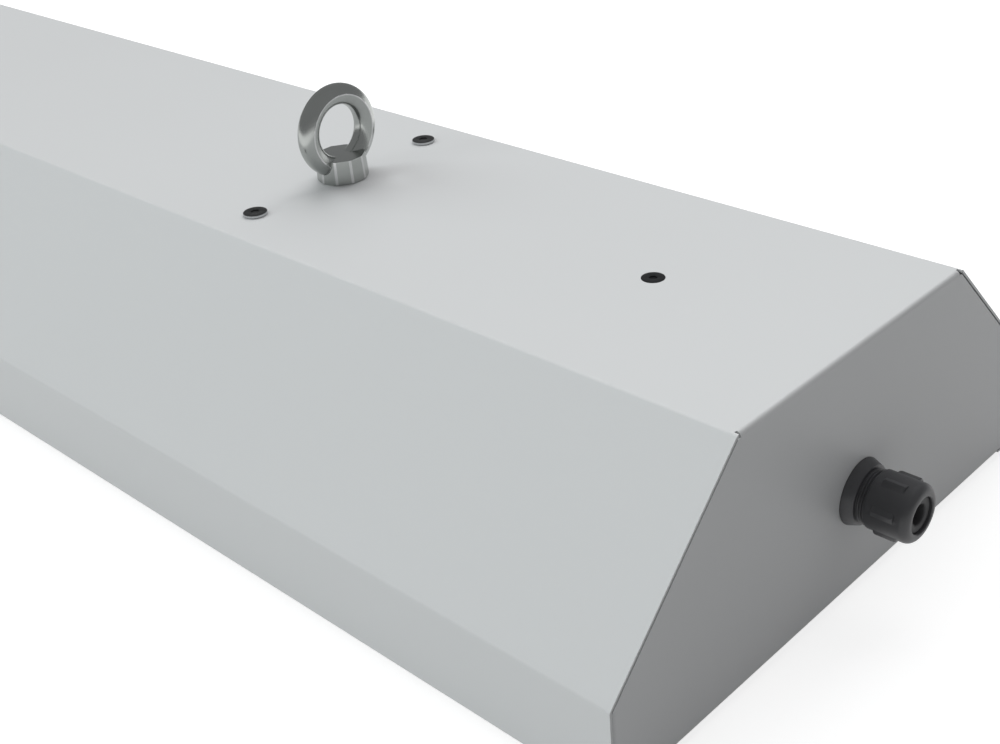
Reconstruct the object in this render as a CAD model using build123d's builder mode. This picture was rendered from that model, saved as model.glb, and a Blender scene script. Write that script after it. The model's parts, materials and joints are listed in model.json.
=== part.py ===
from build123d import *
import os
from math import atan2, tan

os.makedirs("parts", exist_ok=True)

# Housing: one sheet folded to a trapezoid section, with the end plates folded down from its top
length = 1200.0
top_width = 120.0
slope_run = 56.0
slope_drop = 57.5
side_height = 33.0
sheet = 0.8
bend = 1.6
lip_width = 15.0
seam_gap = 0.5
relief_width = 1.0
tab_length = 12.0

# Cover on the underside: a flat frame, the diffuser that lies on it and the foam above the diffuser
frame_thickness = 2.5
frame_inset = 3.0
frame_corner = 3.0
frame_ledge = 7.0
diffuser_thickness = 3.0
diffuser_play = 1.0
gasket_width = 6.0
gasket_height = 2.0
frame_screw_inset = 9.0
frame_screw_columns = 3
frame_screw_spacing = 520.0
frame_screw_length = 8.0

# Gear tray: a shallow trough whose slanted sides reflect the light
tray_sheet = 1.0
tray_top_z = 26.0
tray_half_width = 99.0
tray_rim = 11.0
tray_slope_run = 16.0
tray_end_room = 17.0
tray_bend = 1.5
reflector_end_foot = 14.0

# Light boards and their packages
board_length = 550.0
board_width = 30.0
board_thickness = 1.6
board_row_spacing = 52.0
board_gap = 4.0
package_side = 3.5
package_height = 0.7
packages_per_board = 18
connector_offset = 16.0
connector_length = 9.0
connector_width = 6.0
connector_height = 3.5
connector_inset = 9.0

# Suspension eyes and the cross brackets under the top that carry them
eye_from_end = 229.0
eye_hole_d = 20.4
eye_ring_d = 36.0
eye_ring_width = 9.0
eye_crease_r = 14.5
eye_shoulder_share = 0.74
eye_shoulder_rise = 0.55
eye_flat_share = 0.3
eye_centre_height = 19.0
collar_d = 20.4
collar_sides = 10
collar_height = 9.4
collar_taper = 3.0
eye_shank_d = 8.0
eye_shank_length = 13.0
eye_nut_af = 13.0
eye_nut_height = 6.5
eye_washer_d = 16.0
eye_washer_thickness = 1.6
bracket_sheet = 2.0
bracket_width = 40.0
bracket_length = 110.0
bracket_flange = 14.0
bracket_bend = 3.0
bracket_screw_spacing = 86.4
bracket_screw_d = 5.0
bracket_screw_length = 9.0
bracket_head_d = 9.1
bracket_head_height = 1.1
bracket_nut_af = 8.0
bracket_nut_height = 4.0

# Countersunk screws near the ends and the hangers between them and the tray
end_screw_from_end = 76.0
end_screw_d = 4.0
end_screw_length = 9.0
end_head_d = 7.9
small_nut_af = 7.0
small_nut_height = 3.2
hanger_sheet = 2.0
hanger_width = 110.0
hanger_flange = 24.0

# Cable gland in the right end plate
gland_z = 39.4
gland_y = 4.3
gland_thread_d = 15.9
gland_hex_af = 20.0
gland_hex_length = 4.9
gland_turn = 20.0
gland_inner_length = 9.5
gland_bore_d = 10.6
gland_neck_d = 15.0
gland_neck_length = 9.0
gland_rib = 0.5
gland_rib_heights = [1.0, 2.1]
gland_cap_gap = 2.7
gland_cap_length = 14.2
gland_cap_d = 19.5
gland_cap_hex_af = 18.4
gland_cap_hex_start = 3.4
gland_cap_hex_length = 7.6
gland_cap_round = 2.8
gland_cap_front = 3.0
gland_seal_d = 12.2
gland_seal_length = 10.0
gland_mouth_depth = 1.2
cable_hole_d = 6.8
locknut_af = 22.0
locknut_height = 5.0

# Control gear on the tray
driver_length = 280.0
driver_width = 40.0
driver_height = 24.0
driver_ear = 14.0
driver_ear_thickness = 1.0
driver_ear_corner = 3.5
driver_edge = 2.0
driver_entries = 5
driver_entry_pitch = 6.5
driver_entry_width = 4.0
driver_entry_height = 5.0
driver_entry_depth = 3.0
driver_centre_x = 185.0
terminal_from_end = 130.0
terminal_pitch = 10.0
terminal_poles = 3
terminal_depth = 22.0
terminal_height = 18.0
terminal_side_height = 12.6
terminal_top_depth = 14.6
terminal_entry_height = 6.3
terminal_row_spacing = 11.0
terminal_entry_side = 4.4
earth_from_end = 150.0
earth_y = 56.0
earth_washer_d = 9.0
earth_washer_thickness = 0.9
earth_head_d = 7.0
earth_head_height = 2.4
earth_screw_length = 6.0

# Clearances
thread_play = 0.1
hole_play = 0.4
head_play = 0.1
sheet_play = 0.3

# Places worked out from the sizes above
half_length = length / 2
half_top = top_width / 2
half_width = half_top + slope_run
base_z = frame_thickness
kink_z = base_z + side_height
top_z = kink_z + slope_drop
under_top_z = top_z - sheet
eye_x = half_length - eye_from_end
end_screw_x = half_length - end_screw_from_end
lip_top_z = base_z + sheet
diffuser_top_z = base_z + diffuser_thickness
rim_z = diffuser_top_z + gasket_height
under_tray_z = tray_top_z - tray_sheet
under_board_z = under_tray_z - board_thickness
tray_half_length = half_length - tray_end_room
tray_slope_half = tray_half_width - tray_rim
tray_flat_half = tray_slope_half - tray_slope_run
frame_screw_x = [
    (column - (frame_screw_columns - 1) / 2) * frame_screw_spacing
    for column in range(frame_screw_columns)
]
frame_screw_y = half_width - frame_screw_inset
frame_screw_places = [(x, side * frame_screw_y) for x in frame_screw_x for side in (-1, 1)]
eye_ends = {"left": -eye_x, "right": eye_x}
hanger_ends = {"left": -end_screw_x, "right": end_screw_x}


def finish(builder, name):
    """Labels a finished piece and writes it to its own file."""
    builder.part.label = name
    export_step(builder.part, f"parts/{name}.step")


def hexagon_nut(across_flats, height, hole_d):
    """A hexagon nut that stands on the XY plane."""
    with BuildPart() as nut:
        with BuildSketch():
            RegularPolygon(across_flats / 2, 6, major_radius=False)
        extrude(amount=height)
        Hole(hole_d / 2)
    return nut.part


def flat_head_screw(head_d, head_height, shank_d, shank_length):
    """A screw with its low head above the XY plane and its shank below it."""
    with BuildPart() as screw:
        with BuildSketch():
            Circle(head_d / 2)
        extrude(amount=head_height)
        with BuildSketch():
            Circle(shank_d / 2)
        extrude(amount=-shank_length)
    return screw.part


def countersunk_screw(head_d, shank_d, screw_length):
    """A countersunk screw that points down, with its flat head level with the XY plane."""
    cone_height = (head_d - shank_d) / 2
    with BuildPart() as screw:
        with BuildSketch(Plane.XZ):
            with BuildLine():
                Polyline(
                    (0, 0),
                    (head_d / 2, 0),
                    (shank_d / 2, -cone_height),
                    (shank_d / 2, -screw_length),
                    (0, -screw_length),
                    close=True,
                )
            make_face()
        revolve(axis=Axis.Z)
    return screw.part


# Housing section seen from the end: lips, sides, slopes and top
section_outline = [
    (-half_width, base_z),
    (-half_width, kink_z),
    (-half_top, top_z),
    (half_top, top_z),
    (half_width, kink_z),
    (half_width, base_z),
]

# The fold of the top into an end plate stops short of the slopes' own folds
fold_tangent = bend * tan(atan2(slope_drop, slope_run) / 2)
neck_half = half_top - fold_tangent - relief_width
end_lip_half = half_width - lip_width - seam_gap
tab_start = half_width - sheet - bend
tab_low_z = lip_top_z + seam_gap
tab_high_z = kink_z - relief_width

with BuildPart() as end_plate:
    # Side view of the strip: top fold, plate, bottom fold and end lip
    with BuildSketch(Plane.XZ):
        with BuildLine():
            FilletPolyline(
                (half_length - 2 * bend, top_z - sheet / 2),
                (half_length - sheet / 2, top_z - sheet / 2),
                (half_length - sheet / 2, base_z + sheet / 2),
                (half_length - lip_width, base_z + sheet / 2),
                radius=bend - sheet / 2,
            )
        trace(line_width=sheet)
    extrude(amount=half_width, both=True)
    # End view of the same blank: neck at the top fold, plate inside the walls, lip at the bottom
    with BuildSketch(Plane.YZ.offset(half_length - lip_width)):
        with BuildLine():
            Polyline(*section_outline, close=True)
        make_face()
        offset(amount=-(sheet + seam_gap), mode=Mode.REPLACE)
        with Locations((0, top_z)):
            Rectangle(2 * half_width, 2 * bend, mode=Mode.SUBTRACT)
            Rectangle(2 * neck_half, 2 * bend)
        with Locations((tab_start, tab_high_z)):
            Rectangle(half_width, side_height, align=(Align.MIN, Align.MAX), mode=Mode.SUBTRACT)
        with Locations((-tab_start, tab_high_z)):
            Rectangle(half_width, side_height, align=(Align.MAX, Align.MAX), mode=Mode.SUBTRACT)
        with Locations((0, base_z)):
            Rectangle(2 * end_lip_half, 2 * bend, align=(Align.CENTER, Align.MIN))
    extrude(amount=lip_width, mode=Mode.INTERSECT)
    # Tabs turned inwards along the sides' inner faces, where they are welded
    with BuildSketch(Plane.XY.offset(tab_low_z)):
        with BuildLine():
            FilletPolyline(
                (half_length - sheet / 2, tab_start - bend),
                (half_length - sheet / 2, half_width - 1.5 * sheet),
                (half_length - bend - tab_length, half_width - 1.5 * sheet),
                radius=bend - sheet / 2,
            )
        trace(line_width=sheet)
        mirror(about=Plane.XZ)
    extrude(amount=tab_high_z - tab_low_z)

with BuildPart() as housing:
    # Long walls: the shelled section, opened between the lips
    with BuildSketch(Plane.YZ.offset(-half_length)) as section:
        with BuildLine():
            Polyline(*section_outline, close=True)
        make_face()
        fillet(section.vertices(), bend)
        offset(amount=-sheet, mode=Mode.SUBTRACT)
        with Locations((0, base_z)):
            Rectangle(2 * (half_width - lip_width), 4 * sheet, mode=Mode.SUBTRACT)
    extrude(amount=length)
    # The top ends where the end folds begin, with a relief slot at each side of the fold
    with BuildSketch(Plane.XY.offset(top_z)):
        with Locations((half_length, 0), (-half_length, 0)):
            Rectangle(2 * bend, 2 * (neck_half + relief_width))
    extrude(amount=-bend, mode=Mode.SUBTRACT)
    add(end_plate.part)
    mirror(end_plate.part, about=Plane.YZ)
    # Holes in the top for the eyes, the screws beside them and the countersunk end screws
    with Locations((eye_x, 0, top_z), (-eye_x, 0, top_z)):
        Hole((eye_shank_d + hole_play) / 2, depth=2 * sheet)
        with Locations((0, bracket_screw_spacing / 2), (0, -bracket_screw_spacing / 2)):
            Hole((bracket_screw_d + hole_play) / 2, depth=2 * sheet)
    with Locations((end_screw_x, 0, top_z), (-end_screw_x, 0, top_z)):
        CounterSinkHole(
            (end_screw_d + hole_play) / 2,
            end_head_d / 2 + head_play,
            depth=2 * sheet,
            counter_sink_angle=90,
        )
    # Holes in the lips, in which the frame screws cut their thread
    with Locations(*[(x, y, lip_top_z) for x, y in frame_screw_places]):
        Hole((end_screw_d + thread_play) / 2, depth=2 * sheet)
    # Hole in the right end plate for the gland
    with Locations(Location((half_length, gland_y, gland_z), (0, 90, 0))):
        Hole((gland_thread_d + hole_play) / 2, depth=2 * sheet)
finish(housing, "housing")


def ring_profile_side(edge_r):
    """Profile of the eye's ring from crease to crease, by way of its rim or of its hole."""
    depth = edge_r - eye_crease_r
    half = [
        (eye_ring_width / 2, eye_centre_height + eye_crease_r),
        (
            eye_shoulder_share * eye_ring_width / 2,
            eye_centre_height + eye_crease_r + eye_shoulder_rise * depth,
        ),
        (eye_flat_share * eye_ring_width / 2, eye_centre_height + edge_r),
    ]
    return half + [(-x, z) for x, z in reversed(half)]


# Suspension eye: a revolved ring on a tapered ten-sided collar with a shank below it
ring_rim = ring_profile_side(eye_ring_d / 2)
ring_hole = ring_profile_side(eye_hole_d / 2)
with BuildPart() as eye:
    with BuildSketch(Plane.XZ):
        with BuildLine():
            Polyline(*ring_rim, *reversed(ring_hole[1:-1]), close=True)
        make_face()
    revolve(axis=Axis((0, 0, eye_centre_height), (1, 0, 0)))
    with BuildSketch():
        RegularPolygon(collar_d / 2, collar_sides, rotation=180 / collar_sides)
    extrude(amount=collar_height, taper=collar_taper)
    with BuildSketch():
        Circle(eye_shank_d / 2)
    extrude(amount=-eye_shank_length)
    chamfer(eye.edges().group_by(Axis.Z)[0], eye_shank_d / 10)

with BuildPart() as suspension_eyes:
    with Locations((eye_x, 0, top_z), (-eye_x, 0, top_z)):
        add(eye.part)
finish(suspension_eyes, "suspension_eyes")

# Cross brackets: channels under the top, one below each eye
for end, x in eye_ends.items():
    with BuildPart() as cross_bracket:
        with BuildSketch(Plane.XZ):
            with BuildLine():
                FilletPolyline(
                    (x - (bracket_width - bracket_sheet) / 2, under_top_z - bracket_flange),
                    (x - (bracket_width - bracket_sheet) / 2, under_top_z - bracket_sheet / 2),
                    (x + (bracket_width - bracket_sheet) / 2, under_top_z - bracket_sheet / 2),
                    (x + (bracket_width - bracket_sheet) / 2, under_top_z - bracket_flange),
                    radius=bracket_bend - bracket_sheet / 2,
                )
            trace(line_width=bracket_sheet)
        extrude(amount=bracket_length / 2, both=True)
        chamfer(
            cross_bracket.edges().filter_by(Axis.X).group_by(Axis.Z)[0],
            bracket_flange / 3,
        )
        with Locations((x, 0, under_top_z)):
            Hole((eye_shank_d + hole_play) / 2, depth=2 * bracket_sheet)
            with Locations((0, bracket_screw_spacing / 2), (0, -bracket_screw_spacing / 2)):
                Hole((bracket_screw_d + hole_play) / 2, depth=2 * bracket_sheet)
    finish(cross_bracket, f"cross_bracket_{end}")

# Washers and nuts on the eyes' shanks
under_bracket_z = under_top_z - bracket_sheet
with BuildPart() as eye_washers:
    with BuildSketch(Plane.XY.offset(under_bracket_z)):
        with Locations((eye_x, 0), (-eye_x, 0)):
            Circle(eye_washer_d / 2)
            Circle((eye_shank_d + hole_play) / 2, mode=Mode.SUBTRACT)
    extrude(amount=-eye_washer_thickness)
finish(eye_washers, "eye_washers")

with BuildPart() as eye_nuts:
    with Locations(
        (eye_x, 0, under_bracket_z - eye_washer_thickness - eye_nut_height),
        (-eye_x, 0, under_bracket_z - eye_washer_thickness - eye_nut_height),
    ):
        add(hexagon_nut(eye_nut_af, eye_nut_height, eye_shank_d + thread_play))
finish(eye_nuts, "eye_nuts")

# Low head screws at both sides of each eye, with their nuts under the cross brackets
bracket_screw_places = [
    (x, side * bracket_screw_spacing / 2) for x in (eye_x, -eye_x) for side in (-1, 1)
]
with BuildPart() as bracket_screws:
    with Locations(*[(x, y, top_z) for x, y in bracket_screw_places]):
        add(flat_head_screw(bracket_head_d, bracket_head_height, bracket_screw_d, bracket_screw_length))
finish(bracket_screws, "bracket_screws")

with BuildPart() as bracket_nuts:
    with Locations(*[(x, y, under_bracket_z - bracket_nut_height) for x, y in bracket_screw_places]):
        add(hexagon_nut(bracket_nut_af, bracket_nut_height, bracket_screw_d + thread_play))
finish(bracket_nuts, "bracket_nuts")

# Hangers: folded brackets from the top down to the gear tray, open towards the near end
for end, x in hanger_ends.items():
    outward = 1 if x > 0 else -1
    web_x = x - outward * (hanger_flange - hanger_sheet) / 2
    with BuildPart() as tray_hanger:
        with BuildSketch(Plane.XZ):
            with BuildLine():
                FilletPolyline(
                    (x + outward * hanger_flange / 2, under_top_z - hanger_sheet / 2),
                    (web_x, under_top_z - hanger_sheet / 2),
                    (web_x, tray_top_z + hanger_sheet / 2),
                    (x + outward * hanger_flange / 2, tray_top_z + hanger_sheet / 2),
                    radius=bracket_bend - hanger_sheet / 2,
                )
            trace(line_width=hanger_sheet)
        extrude(amount=hanger_width / 2, both=True)
        with Locations((x, 0, under_top_z)):
            CounterSinkHole(
                (end_screw_d + hole_play) / 2,
                end_head_d / 2 + head_play - sheet,
                depth=2 * hanger_sheet,
                counter_sink_angle=90,
            )
    finish(tray_hanger, f"tray_hanger_{end}")

# Countersunk screws at the ends, level with the top, and their nuts under the hangers
with BuildPart() as end_screws:
    with Locations((end_screw_x, 0, top_z), (-end_screw_x, 0, top_z)):
        add(countersunk_screw(end_head_d, end_screw_d, end_screw_length))
finish(end_screws, "end_screws")

with BuildPart() as end_nuts:
    with Locations(
        (end_screw_x, 0, under_top_z - hanger_sheet - small_nut_height),
        (-end_screw_x, 0, under_top_z - hanger_sheet - small_nut_height),
    ):
        add(hexagon_nut(small_nut_af, small_nut_height, end_screw_d + thread_play))
finish(end_nuts, "end_nuts")

# Places of what the tray carries
board_centre_x = (board_length + board_gap) / 2
board_places = [
    (x_side * board_centre_x, y_side * board_row_spacing / 2)
    for x_side in (-1, 1)
    for y_side in (-1, 1)
]
package_pitch = board_length / packages_per_board
connector_places = [
    (x * connector_offset / board_centre_x, y * (1 - 2 * connector_inset / board_row_spacing))
    for x, y in board_places
]
driver_places = {"left": -driver_centre_x, "right": driver_centre_x}
earth_place = (half_length - earth_from_end, earth_y)

# Gear tray: flat back, slanted sides and a rim along each long edge
with BuildPart() as gear_tray:
    with BuildSketch(Plane.YZ.offset(-tray_half_length)):
        with BuildLine():
            FilletPolyline(
                (-tray_half_width, rim_z + tray_sheet / 2),
                (-tray_slope_half, rim_z + tray_sheet / 2),
                (-tray_flat_half, tray_top_z - tray_sheet / 2),
                (tray_flat_half, tray_top_z - tray_sheet / 2),
                (tray_slope_half, rim_z + tray_sheet / 2),
                (tray_half_width, rim_z + tray_sheet / 2),
                radius=tray_bend - tray_sheet / 2,
            )
        trace(line_width=tray_sheet)
    extrude(amount=2 * tray_half_length)
    with Locations((*earth_place, tray_top_z)):
        Hole((end_screw_d + thread_play) / 2, depth=2 * tray_sheet)
finish(gear_tray, "gear_tray")

# Reflector ends: folded plates that close the trough and press on the foam with their feet
for end, outward in (("left", -1), ("right", 1)):
    foot_end_x = outward * tray_half_length
    web_x = outward * (tray_half_length - reflector_end_foot + tray_sheet / 2)
    with BuildPart() as reflector_end:
        with BuildSketch(Plane.XZ):
            with BuildLine():
                FilletPolyline(
                    (foot_end_x, under_tray_z - tray_sheet / 2),
                    (web_x, under_tray_z - tray_sheet / 2),
                    (web_x, rim_z + tray_sheet / 2),
                    (foot_end_x, rim_z + tray_sheet / 2),
                    radius=tray_bend - tray_sheet / 2,
                )
            trace(line_width=tray_sheet)
        extrude(amount=tray_half_width, both=True)
        with BuildSketch(Plane.YZ.offset(-half_length)):
            with BuildLine():
                Polyline(
                    (-tray_slope_half + tray_sheet + sheet_play, rim_z),
                    (-tray_flat_half + tray_sheet + sheet_play, under_tray_z),
                    (tray_flat_half - tray_sheet - sheet_play, under_tray_z),
                    (tray_slope_half - tray_sheet - sheet_play, rim_z),
                    close=True,
                )
            make_face()
        extrude(amount=length, mode=Mode.INTERSECT)
    finish(reflector_end, f"reflector_end_{end}")

# Light boards under the tray, in two rows
for number, (x, y) in enumerate(board_places, start=1):
    with BuildPart() as led_board:
        with BuildSketch(Plane.XY.offset(under_board_z)):
            with Locations((x, y)):
                Rectangle(board_length, board_width)
        extrude(amount=board_thickness)
    finish(led_board, f"led_board_{number}")

with BuildPart() as led_packages:
    with BuildSketch(Plane.XY.offset(under_board_z)):
        with Locations(*board_places):
            with GridLocations(package_pitch, 1, packages_per_board, 1):
                Rectangle(package_side, package_side)
    extrude(amount=-package_height)
finish(led_packages, "led_packages")

with BuildPart() as board_connectors:
    with BuildSketch(Plane.XY.offset(under_board_z)):
        with Locations(*connector_places):
            Rectangle(connector_length, connector_width)
    extrude(amount=-connector_height)
    chamfer(board_connectors.edges().group_by(Axis.Z)[0], connector_height / 6)
finish(board_connectors, "board_connectors")

# Diffuser, its foam and the frame that carries them
diffuser_half_length = half_length - lip_width - diffuser_play
diffuser_half_width = half_width - lip_width - diffuser_play
with BuildPart() as diffuser:
    with BuildSketch(Plane.XY.offset(base_z)):
        RectangleRounded(2 * diffuser_half_length, 2 * diffuser_half_width, frame_corner)
    extrude(amount=diffuser_thickness)
finish(diffuser, "diffuser")

with BuildPart() as diffuser_foam:
    with BuildSketch(Plane.XY.offset(diffuser_top_z)):
        RectangleRounded(
            2 * diffuser_half_length - 1,
            2 * diffuser_half_width - 1,
            frame_corner,
        )
        Rectangle(
            2 * (diffuser_half_length - gasket_width) - 1,
            2 * (diffuser_half_width - gasket_width) - 1,
            mode=Mode.SUBTRACT,
        )
    extrude(amount=gasket_height)
finish(diffuser_foam, "diffuser_foam")

with BuildPart() as cover_frame:
    with BuildSketch():
        RectangleRounded(
            2 * (half_length - frame_inset),
            2 * (half_width - frame_inset),
            frame_corner,
        )
        RectangleRounded(
            2 * (diffuser_half_length - frame_ledge),
            2 * (diffuser_half_width - frame_ledge),
            frame_corner,
            mode=Mode.SUBTRACT,
        )
    extrude(amount=frame_thickness)
    with Locations(*[Location((x, y, 0), (180, 0, 0)) for x, y in frame_screw_places]):
        CounterSinkHole(
            (end_screw_d + hole_play) / 2,
            end_head_d / 2 + head_play,
            depth=2 * frame_thickness,
            counter_sink_angle=90,
        )
finish(cover_frame, "cover_frame")

with BuildPart() as frame_screws:
    with Locations(*[Location((x, y, 0), (180, 0, 0)) for x, y in frame_screw_places]):
        add(countersunk_screw(end_head_d, end_screw_d, frame_screw_length))
finish(frame_screws, "frame_screws")

# Drivers: folded metal cases on ears, with a row of wire entries at each end
for end, x in driver_places.items():
    with BuildPart() as led_driver:
        with BuildSketch(Plane.XY.offset(tray_top_z)):
            with Locations((x, 0)):
                Rectangle(driver_length + 2 * driver_ear, driver_width)
        extrude(amount=driver_ear_thickness)
        chamfer(led_driver.edges().filter_by(Axis.Z), driver_ear_corner)
        with BuildSketch(Plane.YZ.offset(x - driver_length / 2)) as case_section:
            with Locations((0, tray_top_z)):
                Rectangle(driver_width, driver_height, align=(Align.CENTER, Align.MIN))
            fillet(case_section.vertices().group_by(Axis.Y)[-1], driver_edge)
        extrude(amount=driver_length)
        with BuildSketch(
            Plane.YZ.offset(x - driver_length / 2),
            Plane.YZ.offset(x + driver_length / 2),
        ):
            with Locations((0, tray_top_z + driver_height / 2)):
                with GridLocations(driver_entry_pitch, 1, driver_entries, 1):
                    Rectangle(driver_entry_width, driver_entry_height)
        extrude(amount=driver_entry_depth, both=True, mode=Mode.SUBTRACT)
    finish(led_driver, f"led_driver_{end}")

# Terminal block for the supply, with a wire entry on both sides of each pole
terminal_x = half_length - terminal_from_end
terminal_width = terminal_poles * terminal_pitch
pole_rows = [
    (index - (terminal_poles - 1) / 2) * terminal_pitch for index in range(terminal_poles)
]
terminal_entry_z = tray_top_z + terminal_entry_height
terminal_well_places = [
    (terminal_x + side * terminal_row_spacing / 2, y) for y in pole_rows for side in (-1, 1)
]
with BuildPart() as terminal_block:
    with BuildSketch(Plane.XZ.offset(-terminal_width / 2)):
        with BuildLine():
            Polyline(
                (terminal_x - terminal_depth / 2, tray_top_z),
                (terminal_x - terminal_depth / 2, tray_top_z + terminal_side_height),
                (terminal_x - terminal_top_depth / 2, tray_top_z + terminal_height),
                (terminal_x + terminal_top_depth / 2, tray_top_z + terminal_height),
                (terminal_x + terminal_depth / 2, tray_top_z + terminal_side_height),
                (terminal_x + terminal_depth / 2, tray_top_z),
                close=True,
            )
        make_face()
    extrude(amount=terminal_width)
    with BuildSketch(Plane.YZ.offset(terminal_x - terminal_depth / 2)):
        with Locations(*[(y, terminal_entry_z) for y in pole_rows]):
            Rectangle(terminal_entry_side, terminal_entry_side)
    extrude(amount=terminal_depth, mode=Mode.SUBTRACT)
    with BuildSketch(Plane.XY.offset(tray_top_z + terminal_height)):
        with Locations(*terminal_well_places):
            Rectangle(terminal_entry_side, terminal_entry_side)
    extrude(amount=terminal_entry_height - terminal_height, mode=Mode.SUBTRACT)
finish(terminal_block, "terminal_block")

# Earth screw and its washer beside the terminal block
with BuildPart() as earth_washer:
    with BuildSketch(Plane.XY.offset(tray_top_z)):
        with Locations(earth_place):
            Circle(earth_washer_d / 2)
            Circle((end_screw_d + hole_play) / 2, mode=Mode.SUBTRACT)
    extrude(amount=earth_washer_thickness)
finish(earth_washer, "earth_washer")

with BuildPart() as earth_screw:
    with Locations((*earth_place, tray_top_z + earth_washer_thickness)):
        add(flat_head_screw(earth_head_d, earth_head_height, end_screw_d, earth_screw_length))
finish(earth_screw, "earth_screw")

# Cable gland, made along +Z and turned to stand out of the right end plate
gland_place = Location((half_length, gland_y, gland_z), (0, 90, 0))
gland_cap_base = gland_hex_length + gland_cap_gap
gland_cap_end = gland_cap_base + gland_cap_length
gland_neck_end = gland_cap_base + gland_neck_length
seal_end = gland_cap_end - gland_mouth_depth
seal_start = seal_end - gland_seal_length

with BuildPart() as gland_body:
    with BuildSketch():
        RegularPolygon(gland_hex_af / 2, 6, major_radius=False, rotation=gland_turn)
    extrude(amount=gland_hex_length)
    with BuildSketch():
        Circle(gland_thread_d / 2)
    extrude(amount=-gland_inner_length)
    with BuildSketch(Plane.XY.offset(gland_hex_length)):
        Circle(gland_neck_d / 2)
    extrude(amount=gland_neck_end - gland_hex_length)
    # Two turns of the thread show between the hexagon and the cap
    with BuildSketch(*[Plane.XY.offset(gland_hex_length + height) for height in gland_rib_heights]):
        Circle(gland_neck_d / 2 + gland_rib)
    extrude(amount=gland_rib / 2, both=True)
    with Locations((0, 0, gland_neck_end)):
        CounterBoreHole(
            gland_bore_d / 2,
            (gland_seal_d + thread_play) / 2,
            gland_neck_end - seal_start,
        )
gland_body.part = gland_body.part.moved(gland_place)
finish(gland_body, "gland_body")

with BuildPart() as gland_cap:
    with BuildSketch(Plane.XY.offset(gland_cap_base)):
        Circle(gland_cap_d / 2)
    extrude(amount=gland_cap_length)
    chamfer(gland_cap.edges().group_by(Axis.Z)[-1], gland_cap_round)
    with BuildSketch(Plane.XY.offset(gland_cap_base + gland_cap_hex_start)):
        RegularPolygon(gland_cap_hex_af / 2, 6, major_radius=False, rotation=gland_turn)
    extrude(amount=gland_cap_hex_length)
    with BuildSketch(Plane.XY.offset(gland_cap_base)):
        Circle((gland_neck_d + thread_play) / 2)
    extrude(amount=gland_cap_length - gland_cap_front, mode=Mode.SUBTRACT)
    with BuildSketch(Plane.XY.offset(gland_cap_base)):
        Circle((gland_seal_d + thread_play) / 2)
    extrude(amount=gland_cap_length, mode=Mode.SUBTRACT)
gland_cap.part = gland_cap.part.moved(gland_place)
finish(gland_cap, "gland_cap")

with BuildPart() as gland_seal:
    with BuildSketch(Plane.XY.offset(seal_start)):
        Circle(gland_seal_d / 2)
        Circle(cable_hole_d / 2, mode=Mode.SUBTRACT)
    extrude(amount=gland_seal_length)
gland_seal.part = gland_seal.part.moved(gland_place)
finish(gland_seal, "gland_seal")

with BuildPart() as gland_locknut:
    with Locations((0, 0, -sheet - locknut_height)):
        add(hexagon_nut(locknut_af, locknut_height, gland_thread_d + thread_play))
gland_locknut.part = gland_locknut.part.moved(gland_place)
finish(gland_locknut, "gland_locknut")
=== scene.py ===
# %% [markdown]
# # A linear light fixture with suspension eyes
# The real thing is a folded steel housing, 1.2 m long, with two forged eyes on top and a cable
# gland in one end. The measured model gives every piece its size and place. This script gives
# them their looks: it remodels the pieces whose curves catch the light, paints the others, and
# sets up floor, lamps and camera. Blender works in metres here, and lengths of a few
# millimetres are written as a number times MM.

# %% Load the measured model
import cmath
import json
import math
import bpy
from mathutils import Matrix, Vector

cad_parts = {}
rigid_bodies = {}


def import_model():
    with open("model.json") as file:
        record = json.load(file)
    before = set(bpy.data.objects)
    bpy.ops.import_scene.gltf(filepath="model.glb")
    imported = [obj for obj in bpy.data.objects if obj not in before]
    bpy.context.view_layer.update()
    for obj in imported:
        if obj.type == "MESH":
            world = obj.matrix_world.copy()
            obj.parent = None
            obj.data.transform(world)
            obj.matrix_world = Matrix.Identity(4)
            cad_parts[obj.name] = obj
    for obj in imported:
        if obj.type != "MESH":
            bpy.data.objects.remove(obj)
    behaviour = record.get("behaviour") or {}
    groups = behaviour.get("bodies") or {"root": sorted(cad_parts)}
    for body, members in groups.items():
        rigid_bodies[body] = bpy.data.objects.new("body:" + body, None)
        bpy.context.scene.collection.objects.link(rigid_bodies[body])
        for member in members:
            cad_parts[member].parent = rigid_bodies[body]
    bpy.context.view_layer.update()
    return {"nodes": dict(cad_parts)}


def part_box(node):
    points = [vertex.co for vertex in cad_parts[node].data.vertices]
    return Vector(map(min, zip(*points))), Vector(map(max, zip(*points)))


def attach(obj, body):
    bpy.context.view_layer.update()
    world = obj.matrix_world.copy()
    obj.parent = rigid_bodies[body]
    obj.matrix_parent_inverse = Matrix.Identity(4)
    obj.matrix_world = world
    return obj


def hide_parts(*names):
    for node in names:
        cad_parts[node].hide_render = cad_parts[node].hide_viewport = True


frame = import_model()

nodes = frame["nodes"]
MM = 0.001

# %% [markdown]
# ## Shader maths as plain expressions
# A pattern such as brushed steel is arithmetic on a noise value. Adding a Math node for every
# sum by hand is slow to write and hard to read, so a small class wraps a node's output and
# turns +, -, *, ** and abs into Math nodes. A plain number may stand on either side, so
# 1 - mask is fine.

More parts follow.
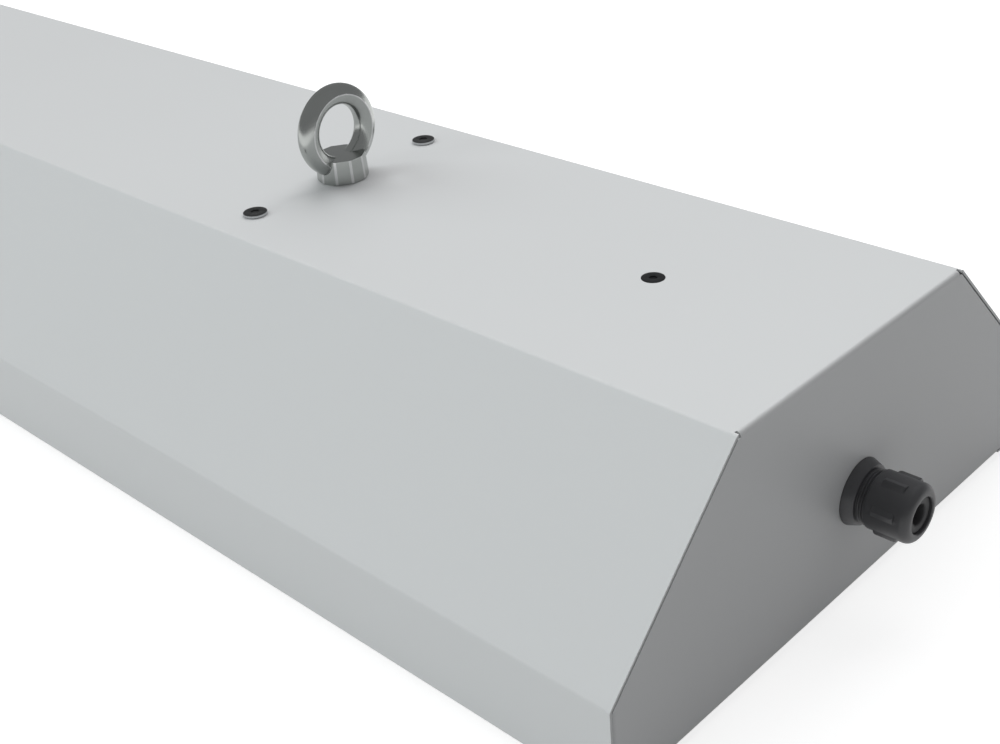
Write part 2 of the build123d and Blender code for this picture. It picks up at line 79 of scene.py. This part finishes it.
# %% A socket that can be calculated with
class Value:
    def __init__(self, tree, socket):
        self.tree = tree
        self.socket = socket

    def math(self, operation, first, second):
        node = self.tree.nodes.new("ShaderNodeMath")
        node.operation = operation
        for slot, value in zip(node.inputs, (first, second)):
            if isinstance(value, Value):
                self.tree.links.new(value.socket, slot)
            else:
                slot.default_value = value
        return Value(self.tree, node.outputs[0])

    def __add__(self, other):
        return self.math("ADD", self, other)

    def __radd__(self, other):
        return self.math("ADD", other, self)

    def __sub__(self, other):
        return self.math("SUBTRACT", self, other)

    def __rsub__(self, other):
        return self.math("SUBTRACT", other, self)

    def __mul__(self, other):
        return self.math("MULTIPLY", self, other)

    def __rmul__(self, other):
        return self.math("MULTIPLY", other, self)

    def __pow__(self, other):
        return self.math("POWER", self, other)

    def __abs__(self):
        return self.math("ABSOLUTE", self, 0.0)

    def above(self, other):
        return self.math("GREATER_THAN", self, other)


# %% [markdown]
# ## One bench for every finish
# Each finish starts as a new material with a Principled shader. The bench adds any other node
# with one call: its settings first, because they can change its sockets, then the values and
# links of its sockets. Patterns read Object coordinates, which are the frame's own metres, so a
# grain of 0.5 mm is 0.5 mm on every piece.

# %% The finish bench
class Finish:
    def __init__(self, name):
        self.material = bpy.data.materials.new(name)
        self.material.use_nodes = True
        self.tree = self.material.node_tree
        self.shader = self.tree.nodes["Principled BSDF"]
        self.place = self.node("ShaderNodeTexCoord", {}, {}, "Object")

    def put(self, slot, value):
        if isinstance(value, Value):
            self.tree.links.new(value.socket, slot)
        else:
            slot.default_value = value

    def node(self, kind, settings, sockets, output=0):
        """A new node. Sockets and its output go by name, or by number where names repeat."""
        node = self.tree.nodes.new(kind)
        for name, value in settings.items():
            setattr(node, name, value)
        for name, value in sockets.items():
            self.put(node.inputs[name], value)
        return Value(self.tree, node.outputs[output])

    def surface(self, **values):
        for name, value in values.items():
            self.put(self.shader.inputs[name.replace("_", " ")], value)

    def stretched(self, scale):
        return self.node("ShaderNodeMapping", {}, {"Vector": self.place, "Scale": scale})

    def noise(self, size, detail=3.0, rough=0.5, where=None):
        return self.node("ShaderNodeTexNoise", {}, {
            "Vector": where or self.place, "Scale": 1 / size,
            "Detail": detail, "Roughness": rough,
        }, "Fac")

    def cells(self, size):
        return self.node("ShaderNodeTexVoronoi", {"feature": "F1"}, {
            "Vector": self.place, "Scale": 1 / size,
        }, "Color")

    def blend(self, amount, first, second):
        """A colour between two others. On this node, sockets 6 and 7 and output 2 are colours."""
        return self.node("ShaderNodeMix", {"data_type": "RGBA"},
                         {0: amount, 6: first, 7: second}, 2)

    def along(self, axis):
        return self.node("ShaderNodeSeparateXYZ", {}, {"Vector": self.place}, axis)

    def aside(self, axis, centre):
        """The distance from a centre along one axis, the same on both sides of the origin."""
        return abs(self.along(axis)) - centre

    def bump(self, height, depth, strength):
        return self.node("ShaderNodeBump", {}, {
            "Height": height, "Distance": depth, "Strength": strength,
        })


def grey(level, warm=0.0):
    """A grey as a colour; warm above 0 leans to yellow, below 0 to blue."""
    return (level * (1 + warm), level, level * (1 - warm), 1.0)


def shaded(tint, factor):
    """A lighter or darker shade of a colour."""
    return [min(1, part * factor) for part in tint[:3]] + [1]


# %% [markdown]
# ## Powder coat
# The housing is sprayed with polyester powder and baked. It looks plain from afar, but up close
# the coat has a fine orange peel, and its sheen drifts a little along a long face. A flat colour
# would look like paper. So the colour stays almost even, and a small noise moves the roughness
# and a finer one lifts the surface by a few hundredths of a millimetre.

# %% Powder coat of the housing and the cover frame
def powder_coat(name, level):
    coat = Finish(name)
    drift = coat.noise(180 * MM, detail=2.0)
    peel = coat.noise(1.1 * MM, detail=2.0)
    speck = coat.noise(0.35 * MM, detail=1.0)
    coat.surface(
        Base_Color=coat.blend(drift, grey(level * 0.985, -0.006), grey(level * 1.015, -0.006)),
        Roughness=0.43 + drift * 0.06 + speck * 0.04,
        Specular_IOR_Level=0.4,
        Normal=coat.bump(peel * 0.8 + speck * 0.2, 0.02 * MM, 0.35),
    )
    return coat.material


housing_paint = powder_coat("powder_coat", 0.62)
print("made", housing_paint.name)

# %% [markdown]
# ## Sizes of the eyes and the screw heads
# Some bright lines on the metal follow its shape: a painted highlight on the crease round an
# eye's ring and on the turned strips of its collar, and the bare rims of the screws round their
# tops, which carry a painted dark reflection. Finish and shape then have to agree, so the sizes
# come first. The collar's strips are the part of it that reaches from "strip" out to "corner",
# and "flat" is how far the measured collar reaches along X. The heads are given by their radius,
# and a bright line is as wide on the crease as on a rim. The places are read from the measured
# model.

# %% Sizes in millimetres, and places in metres
EYE = {"ring": 18.0, "hole": 10.0, "crease": 14.4, "half_width": 4.4,
       "centre": 19.0, "shank": 4.0, "shank_length": 13.0}
COLLAR = {"sides": 10, "corner": 10.2, "flat": 9.7, "round": 10.1, "strip": 10.04,
          "height": 9.4, "taper": math.radians(3)}
LOW_HEAD = 4.55
FLAT_HEAD = 3.95
BRIGHT_LINE = 0.11

top_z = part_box("housing")[1].z
eye_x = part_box("suspension_eyes")[1].x - COLLAR["flat"] * MM
side_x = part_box("bracket_screws")[1].x - LOW_HEAD * MM
side_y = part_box("bracket_screws")[1].y - LOW_HEAD * MM
print("eyes at x in mm:", round(eye_x / MM, 1), "on a top at:", round(top_z / MM, 1))

# %% [markdown]
# ## Metals
# A forged eye is tumbled and plated: grey, smooth, with a soft grain. Its forging line and the
# turned strips on its collar get a painted highlight, a lighter grey. The low-headed screws are
# bright at the rim, and their tops get a near-black painted dark reflection. Galvanised brackets
# show the pale leaves of the zinc. All are the same idea, a metal whose roughness and tint vary,
# so one recipe takes the amounts. A patch is a colour and a function that gives 1 where that
# colour goes, worked out from the place on the piece.

# %% A metal
def metal(name, tint, rough, grain, depth, spread, leaf=None, patch=None):
    steel = Finish(name)
    fine = steel.noise(grain, detail=4.0, rough=0.6)
    broad = steel.noise(grain * 9, detail=2.0)
    shade = steel.blend(broad, shaded(tint, 0.88), tint)
    if leaf:
        flakes = steel.node("ShaderNodeSeparateColor", {}, {"Color": steel.cells(leaf)}, "Red")
        shade = steel.blend(flakes * 0.5, shade, shaded(tint, 1.25))
        fine = fine * 0.5 + flakes * 0.5
    if patch:
        mask, colour = patch
        shade = steel.blend(mask(steel), shade, colour)
    steel.surface(
        Base_Color=shade,
        Metallic=1.0,
        Roughness=rough + fine * spread + broad * 0.05,
        Normal=steel.bump(fine, depth, 0.4),
    )
    return steel.material


# %% Where a metal changes its colour
def painted_eye_highlights(steel):
    """Painted highlight: the forging line round the ring, and the turned strips between the
    collar's flats.
    """
    aside = steel.aside("X", eye_x)
    across = steel.along("Y")
    height = steel.along("Z") - top_z
    on_ring = height.above((COLLAR["height"] + 0.2) * MM)
    # painted highlight along the crease of the ring
    line = abs(aside).above((EYE["half_width"] - BRIGHT_LINE) * MM) * on_ring
    reach = (aside * aside + across * across) ** 0.5 + height * math.tan(COLLAR["taper"])
    # painted highlight on the collar's turned strips
    strip = reach.above(COLLAR["strip"] * MM) - reach.above(COLLAR["corner"] * MM)
    return line + strip * (1 - on_ring)


def painted_screw_top_reflection(steel):
    """A disc just inside the rim of each screw beside the eyes, for a painted dark reflection on
    its top.
    """
    aside = steel.aside("X", side_x)
    across = steel.aside("Y", side_y)
    return 1 - (aside * aside + across * across).above(((LOW_HEAD - BRIGHT_LINE) * MM) ** 2)


# %% Metals of the eyes, screws and brackets
# The eye's patch is a painted highlight, a lighter grey on its crease and collar strips.
eye_steel = metal("forged_steel", (0.45, 0.465, 0.45, 1), 0.17, 0.9 * MM, 0.002 * MM, 0.08,
                  patch=(painted_eye_highlights, grey(0.65)))
dark_steel = metal("blackened_screw", (0.075, 0.077, 0.08, 1), 0.3, 0.4 * MM, 0.006 * MM, 0.15)
zinc = metal("galvanised_sheet", (0.58, 0.6, 0.61, 1), 0.3, 0.8 * MM, 0.01 * MM, 0.15, 9 * MM)
# The screws' patch is a painted dark reflection, near-black on top of each head inside the rim.
screw_steel = metal("plated_screw", (0.62, 0.63, 0.64, 1), 0.22, 0.4 * MM, 0.004 * MM, 0.08,
                    patch=(painted_screw_top_reflection, grey(0.075)))
print("made", eye_steel.name, screw_steel.name, dark_steel.name, zinc.name)

# %% [markdown]
# ## Plastics and rubber
# The gland is black nylon out of a lightly textured mould, so it is satin and never quite
# black. The diffuser is opal acrylic: white in its depth, glossy on its skin. Foam and seals
# are matt with small pores.

# %% Plastics and rubber
def moulded(name, tint, rough, texture, depth, spread=0.1):
    plastic = Finish(name)
    fine = plastic.noise(texture, detail=3.0, rough=0.6)
    broad = plastic.noise(texture * 14, detail=2.0)
    plastic.surface(
        Base_Color=plastic.blend(broad, shaded(tint, 0.9), tint),
        Roughness=rough + fine * spread + broad * 0.06,
        Normal=plastic.bump(fine, depth, 0.5),
    )
    return plastic


nylon_black = moulded("black_nylon", (0.062, 0.062, 0.066, 1), 0.36, 0.25 * MM, 0.004 * MM)
seal_rubber = moulded("seal_rubber", (0.04, 0.04, 0.042, 1), 0.55, 0.3 * MM, 0.01 * MM)
nylon_white = moulded("white_nylon", (0.72, 0.72, 0.69, 1), 0.38, 0.4 * MM, 0.008 * MM)
foam = moulded("foam_strip", (0.03, 0.03, 0.032, 1), 0.8, 0.8 * MM, 0.15 * MM)
opal = moulded("opal_acrylic", (0.84, 0.85, 0.85, 1), 0.16, 2.0 * MM, 0.004 * MM, 0.05)
opal.surface(Subsurface_Weight=0.35, Subsurface_Scale=2 * MM, Coat_Weight=0.3)
print("made", nylon_black.material.name, opal.material.name)

# %% [markdown]
# ## Reflector, light boards and control gear
# The tray is white coated on the inside, and a board is white solder resist over aluminium with
# a faint trace of the copper below. The packages are yellow phosphor. The drivers are plain
# sheet cases. None of these shows while the cover is on, but each still has its own finish.

# %% Finishes of the inner pieces
tray_coat = powder_coat("reflector_coat", 0.82)
board = Finish("board_resist")
tracks = board.noise(6 * MM, detail=0.0, where=board.stretched((0.12, 1.0, 1.0)))
copper = tracks.above(0.52)
board.surface(
    Base_Color=board.blend(copper, grey(0.8), grey(0.75, 0.02)),
    Roughness=0.3 + tracks * 0.1,
    Normal=board.bump(copper, 0.02 * MM, 0.5),
)
phosphor = moulded("phosphor", (0.83, 0.66, 0.16, 1), 0.3, 0.15 * MM, 0.01 * MM)
driver_case = metal("driver_case", (0.66, 0.67, 0.68, 1), 0.34, 0.5 * MM, 0.006 * MM, 0.12,
                    6 * MM)
print("made", board.material.name, phosphor.material.name, driver_case.name)

# %% [markdown]
# ## Dressing the measured nodes
# A material goes on a node by its name, so one table says it all. Brackets, washers and nuts are
# not in the table: what it doesn't name is galvanised.

# %% Which node gets which finish
finishes = {
    "housing": housing_paint,
    "cover_frame": housing_paint,
    "diffuser": opal.material,
    "diffuser_foam": foam.material,
    "gear_tray": tray_coat,
    "reflector_end_left": tray_coat,
    "reflector_end_right": tray_coat,
    "led_board_1": board.material,
    "led_board_2": board.material,
    "led_board_3": board.material,
    "led_board_4": board.material,
    "led_packages": phosphor.material,
    "board_connectors": nylon_white.material,
    "terminal_block": nylon_white.material,
    "led_driver_left": driver_case,
    "led_driver_right": driver_case,
    "suspension_eyes": eye_steel,
    "bracket_screws": screw_steel,
    "end_screws": dark_steel,
    "frame_screws": dark_steel,
    "gland_body": nylon_black.material,
    "gland_cap": nylon_black.material,
    "gland_locknut": nylon_black.material,
    "gland_seal": seal_rubber.material,
}
for name, piece in nodes.items():
    piece.data.materials.clear()
    piece.data.materials.append(finishes.get(name, zinc))
print("dressed", len(nodes), "nodes,", len(nodes) - len(finishes), "of them in zinc")

# %% [markdown]
# ## Modelling by hand
# The eyes, the screws and the gland are round things whose curves catch the light, so they are
# modelled again, finer. Each starts as half of its outline, a chain of points beside its axis,
# and the Spin tool turns it round. The helper below does what one does by hand: draw the chain,
# select it, spin it a full turn, and merge the seam.

# %% A turned piece
def start_fresh():
    bpy.ops.object.select_all(action="DESELECT")


def make_active(piece):
    start_fresh()
    piece.select_set(True)
    bpy.context.view_layer.objects.active = piece


def turned(name, outline, steps, closed=False):
    """A piece whose outline of (radius, height) points in millimetres is spun round Z."""
    chain = [Vector((radius * MM, 0, height * MM)) for radius, height in outline]
    start_fresh()
    bpy.ops.mesh.primitive_plane_add(size=MM)
    piece = bpy.context.object
    piece.name = name
    make_active(piece)
    bpy.ops.object.mode_set(mode="EDIT")
    bpy.ops.mesh.select_mode(type="VERT")
    bpy.ops.mesh.select_all(action="SELECT")
    bpy.ops.mesh.merge(type="CENTER")
    bpy.ops.transform.translate(value=chain[0])
    for place, after in zip(chain, chain[1:]):
        bpy.ops.mesh.extrude_region_move(TRANSFORM_OT_translate={"value": after - place})
    bpy.ops.mesh.select_all(action="SELECT")
    if closed:
        bpy.ops.mesh.edge_face_add()
        bpy.ops.mesh.delete(type="ONLY_FACE")
        bpy.ops.mesh.select_all(action="SELECT")
    bpy.ops.mesh.spin(steps=steps, angle=math.tau, center=(0, 0, 0), axis=(0, 0, 1))
    bpy.ops.mesh.select_all(action="SELECT")
    bpy.ops.mesh.remove_doubles(threshold=0.002 * MM)
    bpy.ops.mesh.normals_make_consistent(inside=False)
    bpy.ops.object.mode_set(mode="OBJECT")
    return piece


# %% [markdown]
# The other helpers cut and join pieces, round their edges, and bring a finished piece to its
# place. A piece is moved through its mesh, so that its object stays at the origin and patterns
# on Object coordinates keep their scale.

# %% Cut, join and round
def apply_all(piece):
    make_active(piece)
    for modifier in list(piece.modifiers):
        bpy.ops.object.modifier_apply(modifier=modifier.name)


def combine(piece, other, operation):
    """Joins, cuts or intersects the piece with another one, which is then gone."""
    modifier = piece.modifiers.new(operation.lower(), "BOOLEAN")
    modifier.operation = operation
    modifier.object = other
    modifier.solver = "EXACT"
    apply_all(piece)
    bpy.data.objects.remove(other)


def smooth(piece, angle):
    """Smooths the shading, but not over edges sharper than the angle in degrees."""
    make_active(piece)
    bpy.ops.object.shade_smooth_by_angle(angle=math.radians(angle))


def soften(piece, width, segments, angle=30):
    """Rounds the edges sharper than the angle in degrees, and smooths the shading."""
    modifier = piece.modifiers.new("edges", "BEVEL")
    modifier.width = width * MM
    modifier.segments = segments
    modifier.limit_method = "ANGLE"
    modifier.angle_limit = math.radians(angle)
    apply_all(piece)
    smooth(piece, 35)


def hexagon(name, across_flats, low, high, turn):
    """A hexagonal bar along Z, used to cut or to intersect turned pieces."""
    start_fresh()
    bpy.ops.mesh.primitive_cylinder_add(
        vertices=6,
        radius=across_flats / math.sqrt(3) * MM,
        depth=(high - low) * MM,
        location=(0, 0, (high + low) / 2 * MM),
        rotation=(0, 0, math.radians(turn)),
    )
    bar = bpy.context.object
    bar.name = name
    bpy.ops.object.transform_apply(location=True, rotation=True, scale=True)
    return bar


# %% Place and finish
def settle(piece, matrix):
    """Moves the finished mesh to its place and leaves the object at the origin."""
    make_active(piece)
    piece.matrix_world = matrix
    bpy.ops.object.transform_apply(location=True, rotation=True, scale=True)


def copies(piece, name, places):
    """One copy of a finished piece at every place, joined to one object."""
    made = []
    for place in places:
        copy = piece.copy()
        copy.data = piece.data.copy()
        bpy.context.collection.objects.link(copy)
        settle(copy, Matrix.Translation(Vector(place)))
        made.append(copy)
    make_active(made[0])
    for copy in made:
        copy.select_set(True)
    bpy.ops.object.join()
    made[0].name = name
    bpy.data.objects.remove(piece)
    return made[0]


def finished(piece, finish, node):
    """Gives the piece its finish and lets it stand for its measured node."""
    piece.data.materials.clear()
    piece.data.materials.append(finish)
    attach(piece, "root")
    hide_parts(node)
    print(piece.name, "has", len(piece.data.polygons), "faces")


LAID_ALONG_X = Matrix.Rotation(math.pi / 2, 4, "Y")

# %% [markdown]
# ## Suspension eye
# A lifting eye is forged from one bar: a ring with a crease all round where the two dies met, on
# a ten-sided collar. The flank of the ring bulges from the crease to the rim and to the hole. A
# power curve gives that bulge: a higher power makes fuller shoulders and a blunter crease.

# %% Ring of the eye
def flank(edge, bulge, steps=30):
    """Outline of the ring from one crease to the other, by way of its rim or of its hole."""
    points = []
    for i in range(steps + 1):
        across = math.cos(math.pi * i / steps)
        rise = 1 - abs(across) ** bulge
        radius = EYE["crease"] + (edge - EYE["crease"]) * rise
        points.append((radius, across * EYE["half_width"]))
    return points


rim_side = flank(EYE["ring"], bulge=2.5)
hole_side = flank(EYE["hole"], bulge=3.3)[::-1]
ring = turned("eye_ring", rim_side + hole_side[1:-1], steps=128, closed=True)
settle(ring, Matrix.Translation((0, 0, EYE["centre"] * MM)) @ LAID_ALONG_X)
soften(ring, 0.22, 2, angle=28)
print("ring:", len(ring.data.polygons), "faces")

# %% [markdown]
# The collar is a ten-sided cone whose corners are turned down to a round one, which leaves a
# narrow strip at each corner; its finish paints a highlight on these strips. The bevels are made
# before the parts are joined, because a bevel needs clean edges, and the cut of ring and collar
# stays crisp as it is on the real eye.

# %% Collar of the eye
narrowing = COLLAR["height"] * math.tan(COLLAR["taper"])
start_fresh()
bpy.ops.mesh.primitive_cone_add(
    vertices=COLLAR["sides"],
    radius1=COLLAR["corner"] * MM,
    radius2=(COLLAR["corner"] - narrowing) * MM,
    depth=COLLAR["height"] * MM,
    location=(0, 0, COLLAR["height"] / 2 * MM),
)
collar = bpy.context.object
collar.name = "eye_collar"
bpy.ops.object.transform_apply(location=True, rotation=True, scale=True)
combine(collar, turned("collar_round", [
    (0, 0), (COLLAR["round"] - 0.45, 0), (COLLAR["round"], 0.4),
    (COLLAR["round"] - narrowing, COLLAR["height"]), (0, COLLAR["height"]),
], steps=120), "INTERSECT")
soften(collar, 0.18, 6, angle=40)
print("collar:", len(collar.data.polygons), "faces")

# %% Shank and the finished eyes
shank_end = -EYE["shank_length"]
shank = turned("eye_shank", [
    (0, shank_end), (EYE["shank"] - 0.8, shank_end), (EYE["shank"], shank_end + 0.8),
    (EYE["shank"], 1.0), (0, 1.0),
], steps=64)
combine(collar, shank, "UNION")
combine(ring, collar, "UNION")
ring.name = "eye"
smooth(ring, 13)
eyes = copies(ring, "eyes", [(-eye_x, 0, top_z), (eye_x, 0, top_z)])
finished(eyes, eye_steel, "suspension_eyes")

# %% [markdown]
# ## Screws
# Beside each eye sit two low-headed screws, and near each end one countersunk screw. Their heads
# are turned, their hexagon sockets are cut out with a bar, and the rims are rounded so that they
# catch a thin line of light. In the picture the sockets of the upper screws hardly show, so
# those are shallow. The cover screws below are countersunk ones, turned over.

# %% A screw
def screw(name, head, shank, length, socket, depth):
    """A screw whose head's outline starts at the middle of its top; sizes in millimetres."""
    tip = [(shank, -length + 0.5), (shank - 0.5, -length), (0, -length)]
    piece = turned(name, head + tip, steps=64)
    top = head[0][1]
    combine(piece, hexagon("key", socket, top - depth, top + 1.0, turn=12.0), "DIFFERENCE")
    soften(piece, 0.12, 3)
    return piece


low_head = [(0, 1.1), (LOW_HEAD - 0.15, 1.1), (LOW_HEAD, 0.95), (LOW_HEAD, 0.15),
            (LOW_HEAD - 0.15, 0.0), (2.5, 0.0)]
flat_head = [(0, 0.0), (FLAT_HEAD, 0.0), (FLAT_HEAD, -0.15), (2.0, -2.05)]

# %% Screws beside the eyes and near the ends
# The near-black top of each of these heads is a painted dark reflection in its finish.
bracket_screw = screw("bracket_screw", low_head, shank=2.5, length=9.0, socket=3.0, depth=0.3)
bracket_places = [(x, y, top_z) for x in (-eye_x, eye_x) for y in (-side_y, side_y)]
finished(copies(bracket_screw, "screws_beside_eyes", bracket_places),
         screw_steel, "bracket_screws")
end_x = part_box("end_screws")[1].x - FLAT_HEAD * MM
end_screw = screw("end_screw", flat_head, shank=2.0, length=9.0, socket=2.5, depth=0.4)
finished(copies(end_screw, "countersunk_screws", [(-end_x, 0, top_z), (end_x, 0, top_z)]),
         dark_steel, "end_screws")

# %% Screws of the cover frame
frame_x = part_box("frame_screws")[1].x - FLAT_HEAD * MM
frame_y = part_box("frame_screws")[1].y - FLAT_HEAD * MM
cover_screw = screw("cover_screw", flat_head, shank=2.0, length=8.0, socket=2.5, depth=1.1)
settle(cover_screw, Matrix.Rotation(math.pi, 4, "X"))
cover_places = [(x, y, 0) for x in (-frame_x, 0, frame_x) for y in (-frame_y, frame_y)]
finished(copies(cover_screw, "cover_screws", cover_places),
         dark_steel, "frame_screws")

# %% [markdown]
# ## Cable gland
# The gland is three mouldings in a row: a body with a round collar against the end plate and a
# neck with two sealing ribs, a domed cap with a low hexagon for the spanner, and a rubber seal
# with the cable hole. They are turned along Z, with the end plate at height 0, and then laid
# along X. The hexagon is a turned band, intersected with a bar so that its corners keep their
# chamfer, and joined to the cap.

# %% Gland body
thread = [(5.3, -9.5), (7.95, -9.5), (7.95, 0)]
round_collar = [(11.2, 0), (11.3, 0.2), (10.1, 3.6), (9.8, 3.9), (8.7, 3.9)]
ribs = [(radius, rib + rise) for rib in (4.5, 5.5)
        for radius, rise in ((8.7, 0), (9.3, 0.25), (9.3, 0.5), (8.7, 0.75))]
inner_sleeve = [(8.7, 6.8), (7.45, 6.8), (7.45, 16.6), (6.2, 16.6), (6.2, 10.6), (5.3, 10.6)]
body = turned("gland_body_turned", thread + round_collar + ribs + inner_sleeve,
              steps=120, closed=True)
soften(body, 0.16, 2)
print("gland body:", len(body.data.polygons), "faces")

# %% [markdown]
# The dome of the cap is an arc through three points. Python's complex numbers give its centre in
# one line, and a turn about that centre is a multiplication.

# %% Gland cap
def arc(start, middle, end, steps):
    """Points on the circle through three points, from start to end."""
    a, b, c = complex(*start), complex(*middle), complex(*end)
    ratio = (c - a) / (b - a)
    centre = a + (b - a) * (ratio - abs(ratio) ** 2) / (2j * ratio.imag)
    turn = cmath.phase((c - centre) / (a - centre))
    points = [centre + (a - centre) * cmath.rect(1, turn * i / steps) for i in range(steps + 1)]
    return [(point.real, point.imag) for point in points]


dome = arc((9.75, 18.9), (9.0, 20.9), (7.2, 21.8), steps=10)
cap = turned("gland_cap_turned", [
    (7.55, 6.9), (9.45, 6.9), (9.75, 7.2), *dome,
    (6.5, 21.8), (6.15, 21.5), (6.15, 18.8), (7.55, 18.8),
], steps=120, closed=True)
FLATS = {"across": 18.4, "start": 9.8, "end": 17.2, "corner": 10.62, "turn": -13.0}
band = turned("cap_flats", [
    (8.5, FLATS["start"]), (FLATS["corner"] - 0.3, FLATS["start"]),
    (FLATS["corner"], FLATS["start"] + 0.4), (FLATS["corner"], FLATS["end"] - 0.4),
    (FLATS["corner"] - 0.3, FLATS["end"]), (8.5, FLATS["end"]),
], steps=120, closed=True)
combine(band, hexagon("flats", FLATS["across"], -5.0, 30.0, FLATS["turn"]), "INTERSECT")
combine(cap, band, "UNION")
soften(cap, 0.16, 2)
print("gland cap:", len(cap.data.polygons), "faces")

# %% Gland seal
seal = turned("gland_seal_turned", [
    (3.4, 10.6), (6.1, 10.6), (6.1, 20.5), (5.8, 20.8), (4.2, 20.8), (3.6, 20.5), (3.4, 20.0),
], steps=72, closed=True)
soften(seal, 0.15, 2)
print("gland seal:", len(seal.data.polygons), "faces")

# %% Place the gland
body_low, body_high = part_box("gland_body")
gland_y = (body_low.y + body_high.y) / 2
gland_z = (body_low.z + body_high.z) / 2
plate_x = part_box("housing")[1].x
for piece, name, finish, slot, node in (
    (body, "gland_body_moulding", nylon_black, "gland_plastic", "gland_body"),
    (cap, "gland_cap_moulding", nylon_black, "gland_plastic", "gland_cap"),
    (seal, "gland_seal_ring", seal_rubber, "gland_rubber", "gland_seal"),
):
    settle(piece, Matrix.Translation((plate_x, gland_y, gland_z)) @ LAID_ALONG_X)
    piece.name = name
    finished(piece, finish.material, node)
print("gland centre in mm:", round(gland_y / MM, 1), round(gland_z / MM, 1))

# %% [markdown]
# ## Floor and surroundings
# The fixture rests on a wide pale floor that also fills the camera's view, so the floor is the
# white background. It gives camera, glossy and transmission rays some light of its own on top of
# what the lamps give, so it reads as white while the shadow beside the object stays. It lies a
# hair below the fixture, so that the two faces don't fight, and it is 400 m wide because a low
# view from behind looks out almost to the horizon.

# %% Floor
start_fresh()
bpy.ops.mesh.primitive_plane_add(size=400.0, location=(0, 0, -0.4 * MM))
floor = bpy.context.object
floor.name = "floor"
bpy.ops.object.transform_apply(location=True, rotation=True, scale=True)
pale = Finish("pale_floor")
pale.surface(Base_Color=grey(0.42), Roughness=0.9, Specular_IOR_Level=0.0)
seen, mirrored, through = (
    pale.node("ShaderNodeLightPath", {}, {}, ray)
    for ray in ("Is Camera Ray", "Is Glossy Ray", "Is Transmission Ray")
)
glow = pale.node("ShaderNodeEmission", {}, {"Strength": (seen + mirrored + through) * 0.78})
lit = Value(pale.tree, pale.shader.outputs[0])
both = pale.node("ShaderNodeAddShader", {}, {0: lit, 1: glow})
pale.put(pale.tree.nodes["Material Output"].inputs["Surface"], both)
floor.data.materials.append(pale.material)
print("floor made, of", pale.material.name)

# %% [markdown]
# ## Light
# In the picture the top is the brightest face, the two near sides are a little darker, and the
# end with the gland is in shade. An area lamp close by would fade along the 1.2 m of the
# housing, so three wide suns light it evenly from end to end and still give the shadow of the
# eye a soft edge: one overhead for the top, one from the far left along the housing, and one low
# in front for the near sides. A dim sky fills the rest. The suns stand for large panels, so they
# don't show in metal as hot spots; it mirrors the sky and the floor.

# %% World and lamps
world = bpy.data.worlds.new("studio")
bpy.context.scene.world = world
world.use_nodes = True
sky = world.node_tree.nodes["Background"]
sky.inputs["Color"].default_value = (0.97, 0.985, 1.0, 1)
sky.inputs["Strength"].default_value = 0.291


def lamp(name, source, width, power, tint=(1, 1, 1)):
    """A sun that shines from the direction of the source, as wide as the angle in degrees."""
    light = bpy.data.lights.new(name, "SUN")
    light.angle = math.radians(width)
    light.energy = power
    light.color = tint
    holder = bpy.data.objects.new(name, light)
    bpy.context.collection.objects.link(holder)
    holder.rotation_euler = Vector(source).to_track_quat("Z", "Y").to_euler()
    holder.visible_glossy = False


lamp("overhead", source=(-0.35, 0.6, 0.8), width=62, power=2.2)
lamp("left", source=(-0.85, -0.3, 0.6), width=36, power=1.15, tint=(0.93, 1, 1))
lamp("low_front", source=(-0.35, -0.95, 0.06), width=24, power=1.56, tint=(0.95, 1, 1))

# %% [markdown]
# ## Camera
# The camera stands off the gland's corner and looks back along the housing from above, close
# enough for the near end to grow and the far end to run out of the picture. It sees far enough
# for the whole floor.

# %% Camera
camera_data = bpy.data.cameras.new("camera")
camera = bpy.data.objects.new("camera", camera_data)
bpy.context.collection.objects.link(camera)
camera.location = (0.787142, -0.323546, 0.301925)
camera.rotation_euler = [math.radians(angle) for angle in (59.9031, 4.3819, 43.7262)]
camera_data.sensor_width = 36.0
camera_data.lens = 51.706
camera_data.clip_start = 0.01
camera_data.clip_end = 1000
bpy.context.scene.camera = camera
bpy.context.scene.view_settings.view_transform = "Standard"
print("camera at", [round(v, 3) for v in camera.location], "lens", camera_data.lens)
